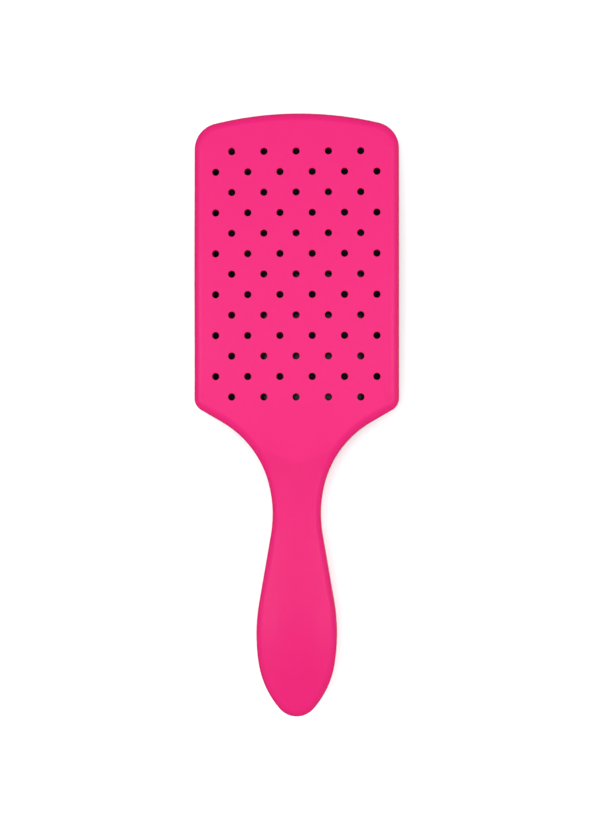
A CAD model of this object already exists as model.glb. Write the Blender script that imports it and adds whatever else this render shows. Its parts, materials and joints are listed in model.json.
"""Paddle brush on a pale table: finishes, a moulded rubber cushion and soft overhead light."""
import json
from math import atan2, cos, exp, hypot, pi, radians, sin, sqrt

import bpy
from mathutils import Matrix, Vector
from mathutils.geometry import delaunay_2d_cdt


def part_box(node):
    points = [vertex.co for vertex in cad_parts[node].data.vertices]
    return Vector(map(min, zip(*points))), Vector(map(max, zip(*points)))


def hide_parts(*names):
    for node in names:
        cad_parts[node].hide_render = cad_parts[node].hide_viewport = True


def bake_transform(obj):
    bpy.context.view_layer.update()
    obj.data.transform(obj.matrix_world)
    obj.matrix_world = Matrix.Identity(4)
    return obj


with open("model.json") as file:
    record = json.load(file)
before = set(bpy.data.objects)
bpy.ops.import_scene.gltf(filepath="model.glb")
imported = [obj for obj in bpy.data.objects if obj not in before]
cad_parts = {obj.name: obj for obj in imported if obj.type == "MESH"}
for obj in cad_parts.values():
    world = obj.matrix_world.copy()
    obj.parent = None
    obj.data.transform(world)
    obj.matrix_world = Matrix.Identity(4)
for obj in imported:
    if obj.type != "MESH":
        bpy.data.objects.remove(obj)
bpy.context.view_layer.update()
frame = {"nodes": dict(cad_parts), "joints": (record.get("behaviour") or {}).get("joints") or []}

MM = 0.001

# Where the shells meet and where the cushion's face stands, from the frame.
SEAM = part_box("cushion")[1].z
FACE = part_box("cushion")[0].z

# The cushion window's edge: a wide arc at the top, straight sides and a straight foot.
FLANGE_MARGIN = 2.2 * MM
WINDOW_INSET = 6.2 * MM
WINDOW_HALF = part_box("cushion")[1].x - FLANGE_MARGIN
WINDOW_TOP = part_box("back_shell")[1].y - WINDOW_INSET
WINDOW_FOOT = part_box("cushion")[0].y + FLANGE_MARGIN
ARCH_RADIUS = 145.8 * MM
TOP_CORNER = 7.0 * MM
LOW_CORNER = 16.0 * MM

# Bristles: their lattice, the height they rock about, and the moulded sockets that they stand in.
ROW_PITCH = 8.62 * MM
BEAD_RADIUS = 1.0 * MM
PIVOT = frame["joints"][1]["pos_m"][2]
SOCKET_SIDES = 24
SOCKET_FOOT = 1.85 * MM

# The cushion: its edge, its skin, and how far its face dips near the frame.
FACE_INSET = 2.2 * MM
WALL_GAP = 0.25 * MM
SKIN_THICKNESS = 2.0 * MM
INNER_FACE = FACE + SKIN_THICKNESS
DOME_DROP = 0.3 * MM
DOME_REACH = 7.0 * MM
SHOULDER_HEIGHT = 2.9 * MM
SHOULDER_STEPS = 7

# How close the face's inner points may come to its rim and to a socket, in steps of their spacing.
POINTS_A_ROW = 4
RIM_CLEARANCE = 0.6
SOCKET_CLEARANCE = 0.55

# Table and camera.
TABLE_REACH = 2.0
CAMERA_DISTANCE = 0.65
SEEN_HEIGHT = 0.3511
SENSOR = 36.0


# ---------------------------------------------------------------- material helpers

class Nodes:
    """A material's node tree, with short calls to add and join nodes."""

    def __init__(self, name):
        self.material = bpy.data.materials.new(name)
        self.material.use_nodes = True
        self.tree = self.material.node_tree
        self.shader = self.tree.nodes["Principled BSDF"]
        self.place = self.add("ShaderNodeTexCoord").outputs["Object"]

    def add(self, kind, **settings):
        """A new node with plain properties or input values set by name."""
        node = self.tree.nodes.new(kind)
        for key, value in settings.items():
            if hasattr(node, key):
                setattr(node, key, value)
            else:
                node.inputs[key.replace("_", " ")].default_value = value
        return node

    def join(self, output, socket):
        """Link an output to an input."""
        self.tree.links.new(output, socket)

    def noise(self, scale, detail=2.0, roughness=0.5):
        """Noise in the piece's own space; scale is in features per metre."""
        node = self.add("ShaderNodeTexNoise", Scale=scale, Detail=detail, Roughness=roughness)
        self.join(self.place, node.inputs["Vector"])
        return node.outputs["Fac"]

    def spread(self, source, low, high, start=0.3, end=0.7):
        """Turn a 0 to 1 pattern into a range of values."""
        node = self.add("ShaderNodeMapRange")
        for key, value in zip(("From Min", "From Max", "To Min", "To Max"), (start, end, low, high)):
            node.inputs[key].default_value = value
        self.join(source, node.inputs["Value"])
        return node.outputs["Result"]

    def blend(self, factor, first, second):
        """Mix two colours by a pattern; a colour may also be another node's output."""
        node = self.add("ShaderNodeMix", data_type="RGBA")
        self.join(factor, node.inputs["Factor"])
        sockets = [s for s in node.inputs if s.type == "RGBA"]
        for value, socket in zip((first, second), sockets):
            if isinstance(value, tuple):
                socket.default_value = (*value, 1.0)
            else:
                self.join(value, socket)
        return next(s for s in node.outputs if s.type == "RGBA")

    def bump(self, height, distance, strength=1.0, under=None):
        """Relief of a depth in metres; under is another bump that it is laid over."""
        node = self.add("ShaderNodeBump", Distance=distance, Strength=strength)
        self.join(height, node.inputs["Height"])
        if under:
            self.join(under, node.inputs["Normal"])
        return node.outputs["Normal"]

    def turned_away(self):
        """0 where the surface faces the eye, rising to 1 at its outline."""
        return self.add("ShaderNodeLayerWeight", Blend=0.5).outputs["Facing"]

    def edges(self, low=0.5, high=0.56):
        """Bright on worn or rolled edges, dark elsewhere."""
        node = self.add("ShaderNodeNewGeometry")
        return self.spread(node.outputs["Pointiness"], 0.0, 1.0, low, high)


def paint(piece, material):
    """Give a piece one material all over."""
    piece.data.materials.clear()
    piece.data.materials.append(material)


# ---------------------------------------------------------------- materials

def pink_plastic():
    """Hot pink moulded plastic with a satin skin, faint flow mottling and fine orange peel."""
    n = Nodes("pink_plastic")
    mottle = n.spread(n.noise(38.0, 3.0), 0.0, 1.0)
    body = n.blend(mottle, (0.488, 0.0005, 0.103), (0.503, 0.0015, 0.109))
    worn = n.blend(n.edges(), body, (0.522, 0.003, 0.119))
    turned = n.turned_away()
    outline = n.spread(turned, 0.0, 1.0, 0.40, 0.75)
    n.join(n.blend(outline, worn, (0.400, 0.0, 0.040)), n.shader.inputs["Base Color"])
    n.join(n.spread(turned, 0.28, 0.03, 0.15, 0.50), n.shader.inputs["Specular IOR Level"])
    n.join(n.spread(n.noise(420.0, 4.0, 0.6), 0.38, 0.48), n.shader.inputs["Roughness"])
    soft_rims = n.add("ShaderNodeBevel", samples=4, Radius=0.12 * MM).outputs["Normal"]
    peel = n.bump(n.noise(1100.0, 2.0), 0.00002, 0.5, soft_rims)
    n.join(n.bump(n.noise(160.0, 2.0), 0.00006, 0.35, peel), n.shader.inputs["Normal"])
    n.shader.inputs["IOR"].default_value = 1.46
    n.shader.inputs["Subsurface Weight"].default_value = 0.35
    n.shader.inputs["Subsurface Radius"].default_value = (1.0, 0.05, 0.25)
    n.shader.inputs["Subsurface Scale"].default_value = 1.2 * MM
    return n.material


def black_rubber():
    """Matt black rubber with a dusty bloom and a fine moulded grain."""
    n = Nodes("black_rubber")
    bloom = n.spread(n.noise(90.0, 5.0, 0.6), 0.0, 1.0)
    n.join(n.blend(bloom, (0.004, 0.004, 0.0045), (0.009, 0.009, 0.010)), n.shader.inputs["Base Color"])
    n.join(n.spread(n.noise(700.0, 3.0), 0.50, 0.66), n.shader.inputs["Roughness"])
    n.join(n.bump(n.noise(2600.0, 3.0), 0.00003, 0.6), n.shader.inputs["Normal"])
    return n.material


def black_nylon():
    """Drawn black nylon: satin, with faint streaks along the bristle."""
    n = Nodes("black_nylon")
    stretch = n.add("ShaderNodeMapping")
    stretch.inputs["Scale"].default_value = (1.0, 1.0, 0.06)
    n.join(n.place, stretch.inputs["Vector"])
    streaks = n.add("ShaderNodeTexNoise", Scale=3200.0, Detail=2.0)
    n.join(stretch.outputs["Vector"], streaks.inputs["Vector"])
    tone = n.spread(streaks.outputs["Fac"], 0.0, 1.0)
    n.join(n.blend(tone, (0.014, 0.014, 0.015), (0.028, 0.028, 0.031)), n.shader.inputs["Base Color"])
    n.join(n.spread(streaks.outputs["Fac"], 0.26, 0.40), n.shader.inputs["Roughness"])
    n.join(n.bump(streaks.outputs["Fac"], 0.00002, 0.4), n.shader.inputs["Normal"])
    return n.material


def black_bead():
    """Glossy moulded bead with a few dull rub marks."""
    n = Nodes("black_bead")
    rub = n.spread(n.noise(900.0, 4.0, 0.65), 0.10, 0.26)
    n.join(rub, n.shader.inputs["Roughness"])
    n.join(n.blend(n.spread(n.noise(500.0), 0.0, 1.0), (0.010, 0.010, 0.011), (0.020, 0.020, 0.022)),
           n.shader.inputs["Base Color"])
    n.shader.inputs["IOR"].default_value = 1.52
    return n.material


def table_top():
    """Smooth white table with a barely visible tooth."""
    n = Nodes("table_top")
    n.join(n.blend(n.spread(n.noise(12.0), 0.0, 1.0), (0.86, 0.86, 0.86), (0.88, 0.88, 0.88)),
           n.shader.inputs["Base Color"])
    n.join(n.spread(n.noise(260.0, 3.0), 0.60, 0.72), n.shader.inputs["Roughness"])
    n.join(n.bump(n.noise(900.0, 2.0), 0.00002, 0.3), n.shader.inputs["Normal"])
    return n.material


# ---------------------------------------------------------------- cushion

def arc(centre, radius, start, end, count):
    """Points along an arc, without the last one; angles are in degrees."""
    step = radians(end - start) / count
    return [(centre[0] + radius * cos(radians(start) + i * step),
             centre[1] + radius * sin(radians(start) + i * step)) for i in range(count)]


def straight(first, last, count):
    """Points along a line, without the last one."""
    return [(first[0] + (last[0] - first[0]) * i / count,
             first[1] + (last[1] - first[1]) * i / count) for i in range(count)]


def window_ring(grow):
    """The window's edge grown all round, anticlockwise from the right end of the foot."""
    top = (0.0, WINDOW_TOP - ARCH_RADIUS)
    reach = ARCH_RADIUS - TOP_CORNER
    high_x = WINDOW_HALF - TOP_CORNER
    high = (high_x, top[1] + sqrt(reach ** 2 - high_x ** 2))
    low = (WINDOW_HALF - LOW_CORNER, WINDOW_FOOT + LOW_CORNER)
    lean = atan2(high[1] - top[1], high[0]) * 180 / pi
    side = WINDOW_HALF + grow
    foot = WINDOW_FOOT - grow
    points = arc(low, LOW_CORNER + grow, -90, 0, 20)
    points += straight((side, low[1]), (side, high[1]), 60)
    points += arc(high, TOP_CORNER + grow, 0, lean, 10)
    points += arc(top, ARCH_RADIUS + grow, lean, 180 - lean, 50)
    points += arc((-high[0], high[1]), TOP_CORNER + grow, 180 - lean, 180, 10)
    points += straight((-side, high[1]), (-side, low[1]), 60)
    points += arc((-low[0], low[1]), LOW_CORNER + grow, 180, 270, 20)
    points += straight((-low[0], foot), (low[0], foot), 30)
    return points


def bristle_spots():
    """Where each bristle stands, from the frame's columns of bead tips."""
    spots = []
    for node in sorted(frame["nodes"]):
        if node.startswith("tip_column"):
            low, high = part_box(node)
            rows = round((high.y - low.y - 2 * BEAD_RADIUS) / ROW_PITCH) + 1
            x = (low.x + high.x) / 2
            middle = (low.y + high.y) / 2
            spots += [(x, middle + (i - (rows - 1) / 2) * ROW_PITCH) for i in range(rows)]
    return spots


def circle(spot, radius):
    """A socket's ring of points."""
    return [(spot[0] + radius * cos(2 * pi * i / SOCKET_SIDES),
             spot[1] + radius * sin(2 * pi * i / SOCKET_SIDES)) for i in range(SOCKET_SIDES)]


class Skin:
    """Mesh data gathered point by point and face by face."""

    def __init__(self):
        self.points = []
        self.faces = []

    def ring(self, outline, heights):
        """Add a ring of points and return their numbers; heights is one number or one a point."""
        first = len(self.points)
        if not isinstance(heights, list):
            heights = [heights] * len(outline)
        self.points += [(x, y, z) for (x, y), z in zip(outline, heights)]
        return list(range(first, len(self.points)))

    def bridge(self, lower, upper):
        """Join two rings of the same length with quads, facing outward when lower is wound first."""
        count = len(lower)
        for i in range(count):
            j = (i + 1) % count
            self.faces.append((lower[i], lower[j], upper[j], upper[i]))

    def build(self, name):
        """The finished object, smooth, with its faces turned outward."""
        mesh = bpy.data.meshes.new(name)
        mesh.from_pydata(self.points, [], self.faces)
        mesh.update()
        mesh.shade_smooth()
        piece = bpy.data.objects.new(name, mesh)
        bpy.context.scene.collection.objects.link(piece)
        return piece


def face_height(x, y, rim):
    """Height of the cushion's outer face: a pillow that rises to the frame near its rim."""
    near = min(hypot(x - px, y - py) for px, py in rim)
    return FACE + DOME_DROP * exp(-near / DOME_REACH)


def fill_face(spots, rim):
    """Triangles over the cushion's face, leaving a round gap at each socket."""
    points = list(rim)
    edges = []
    for spot in spots:
        first = len(points)
        points += circle(spot, SOCKET_FOOT)
        edges += [(first + i, first + (i + 1) % SOCKET_SIDES) for i in range(SOCKET_SIDES)]
    spacing = ROW_PITCH / POINTS_A_ROW
    clear = SOCKET_FOOT + SOCKET_CLEARANCE * spacing
    columns = int(2 * WINDOW_HALF / spacing)
    rows = int((WINDOW_TOP - WINDOW_FOOT) / spacing)
    for i in range(columns):
        for j in range(rows):
            x = -WINDOW_HALF + (i + 0.5 + 0.5 * (j % 2)) * spacing
            y = WINDOW_FOOT + (j + 0.5) * spacing
            if min(hypot(x - sx, y - sy) for sx, sy in spots) < clear:
                continue
            from_rim = min(hypot(x - px, y - py) for px, py in rim)
            if inside(x, y, rim) and from_rim > RIM_CLEARANCE * spacing:
                points.append((x, y))
    vectors = [Vector(p) for p in points]
    outline = [list(range(len(rim)))]
    found = delaunay_2d_cdt(vectors, edges, outline, 1, 1e-9)
    if len(found[0]) != len(points):
        raise RuntimeError("the cushion's face gained or lost points when it was filled")
    within_socket = 0.99 * SOCKET_FOOT * cos(pi / SOCKET_SIDES)
    triangles = []
    for face in found[2]:
        x = sum(found[0][i].x for i in face) / 3
        y = sum(found[0][i].y for i in face) / 3
        if min(hypot(x - sx, y - sy) for sx, sy in spots) > within_socket:
            triangles.append(tuple(face))
    return [tuple(v) for v in found[0]], triangles


def inside(x, y, rim):
    """True if a point is inside a closed outline."""
    crossings = 0
    for (ax, ay), (bx, by) in zip(rim, rim[1:] + rim[:1]):
        if (ay > y) != (by > y) and x < ax + (y - ay) / (by - ay) * (bx - ax):
            crossings += 1
    return crossings % 2 == 1


def make_cushion():
    """The rubber cushion: a pillowed face with a raised socket round every bristle."""
    skin = Skin()
    rim = window_ring(-FACE_INSET)
    spots = bristle_spots()
    flat, triangles = fill_face(spots, rim)
    outer = skin.ring(flat, [face_height(x, y, rim) for x, y in flat])
    inner = skin.ring(flat, INNER_FACE)
    for a, b, c in triangles:
        skin.faces.append((outer[c], outer[b], outer[a]))
        skin.faces.append((inner[a], inner[b], inner[c]))
    add_rim(skin, outer[:len(rim)], inner[:len(rim)])
    for number, spot in enumerate(spots):
        first = len(rim) + number * SOCKET_SIDES
        face = face_height(*spot, rim)
        add_socket(skin, spot, face, outer[first:first + SOCKET_SIDES], inner[first:first + SOCKET_SIDES])
    piece = skin.build("cushion_skin")
    paint(piece, black_rubber())
    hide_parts("cushion")
    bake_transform(piece)


def add_rim(skin, outer_edge, inner_edge):
    """The rolled shoulder, the wall in the window and the flange, back to the inner face."""
    wall = -WALL_GAP
    roll = FACE_INSET - WALL_GAP
    face = FACE + DOME_DROP
    section = []
    for i in range(1, SHOULDER_STEPS + 1):
        turn = radians(90 * i / SHOULDER_STEPS)
        section.append((wall - roll * (1 - sin(turn)), face + SHOULDER_HEIGHT * (1 - cos(turn))))
    section += [(wall, SEAM - 4.4 * MM), (wall, SEAM - 1.9 * MM)]
    section += [(wall + 0.15 * MM, SEAM - 1.79 * MM), (FLANGE_MARGIN - 0.2 * MM, SEAM - 1.79 * MM)]
    section += [(FLANGE_MARGIN, SEAM - 1.6 * MM), (FLANGE_MARGIN, SEAM - 0.2 * MM)]
    section += [(FLANGE_MARGIN - 0.2 * MM, SEAM - 0.01 * MM), (-2.05 * MM, SEAM - 0.01 * MM)]
    section += [(-2.25 * MM, SEAM - 0.2 * MM), (-2.25 * MM, INNER_FACE + 0.75 * MM)]
    section += [(-2.24 * MM, INNER_FACE + 0.35 * MM), (-2.22 * MM, INNER_FACE + 0.1 * MM)]
    before = outer_edge
    for grow, height in section:
        ring = skin.ring(window_ring(grow), height)
        skin.bridge(before, ring)
        before = ring
    skin.bridge(before, inner_edge)


def add_socket(skin, spot, face, outer_edge, inner_edge):
    """A raised collar round one bristle and a waisted hole that leaves it room to rock."""
    section = (
        (1.68, face - 0.07 * MM), (1.54, face - 0.20 * MM), (1.44, face - 0.36 * MM),
        (1.34, face - 0.47 * MM), (1.18, face - 0.50 * MM), (1.06, face - 0.44 * MM),
        (0.98, face - 0.28 * MM), (0.72, PIVOT), (0.86, INNER_FACE - 0.35 * MM),
        (1.02, INNER_FACE - 0.06 * MM), (1.22, INNER_FACE),
    )
    before = outer_edge
    for radius, height in section:
        ring = skin.ring(circle(spot, radius * MM), height)
        skin.bridge(ring, before)
        before = ring
    skin.bridge(inner_edge, before)


# ---------------------------------------------------------------- finishes on the frame's pieces

def finish_nodes():
    """Give every frame node its own finish."""
    materials = {"back_shell": pink_plastic(), "bristle": black_nylon(), "tip": black_bead()}
    materials["front_shell"] = materials["back_shell"]
    for name, node in frame["nodes"].items():
        key = name if name.endswith("shell") else name.split("_")[0]
        if key in materials:
            paint(node, materials[key])


# ---------------------------------------------------------------- table, light and camera

def make_table():
    """A wide pale table that the brush lies on."""
    mesh = bpy.data.meshes.new("table")
    corners = [(x * TABLE_REACH, y * TABLE_REACH, 0) for x, y in ((-1, -1), (1, -1), (1, 1), (-1, 1))]
    mesh.from_pydata(corners, [], [(0, 1, 2, 3)])
    table = bpy.data.objects.new("table", mesh)
    bpy.context.scene.collection.objects.link(table)
    paint(table, table_top())


def soft_light(name, place, size, glow, glossy=True):
    """A square softbox aimed at the brush; its power is glow times pi times its area."""
    data = bpy.data.lights.new(name, "AREA")
    data.shape = "SQUARE"
    data.size = size
    data.energy = glow * pi * size ** 2
    light = bpy.data.objects.new(name, data)
    light.location = place
    light.rotation_euler = (-Vector(place)).to_track_quat("-Z", "Y").to_euler()
    light.visible_glossy = glossy
    bpy.context.scene.collection.objects.link(light)


def make_lights():
    """A small light near the camera, a softbox overhead, one at each side and a white surround."""
    soft_light("ring", (0.0, 0.0, 0.66), 0.12, 38.0, glossy=False)
    soft_light("overhead", (0.0, 0.045, 0.95), 0.40, 1.8)
    soft_light("left", (-0.55, 0.02, 0.80), 0.40, 5.2)
    soft_light("right", (0.55, 0.02, 0.80), 0.40, 5.2)
    world = bpy.data.worlds.new("surround")
    bpy.context.scene.world = world
    world.use_nodes = True
    backdrop = world.node_tree.nodes["Background"]
    backdrop.inputs["Color"].default_value = (1, 1, 1, 1)
    backdrop.inputs["Strength"].default_value = 0.85


def make_camera():
    """A camera above the brush and a little to its right, with the head at the top of the picture."""
    aim = Vector((0.6 * MM, 0.0, SEAM + 3.0 * MM))
    data = bpy.data.cameras.new("camera")
    data.sensor_width = SENSOR
    data.lens = SENSOR * CAMERA_DISTANCE / SEEN_HEIGHT
    data.clip_start = 0.01
    data.clip_end = 10.0
    camera = bpy.data.objects.new("camera", data)
    camera.location = aim + Vector((27.5 * MM, -3.0 * MM, CAMERA_DISTANCE))
    back = (camera.location - aim).normalized()
    right = Vector((0, 1, 0)).cross(back).normalized()
    camera.rotation_euler = Matrix((right, back.cross(right), back)).transposed().to_euler()
    bpy.context.scene.collection.objects.link(camera)
    bpy.context.scene.camera = camera


make_cushion()
finish_nodes()
make_table()
make_lights()
make_camera()
bpy.context.scene.view_settings.view_transform = "Standard"
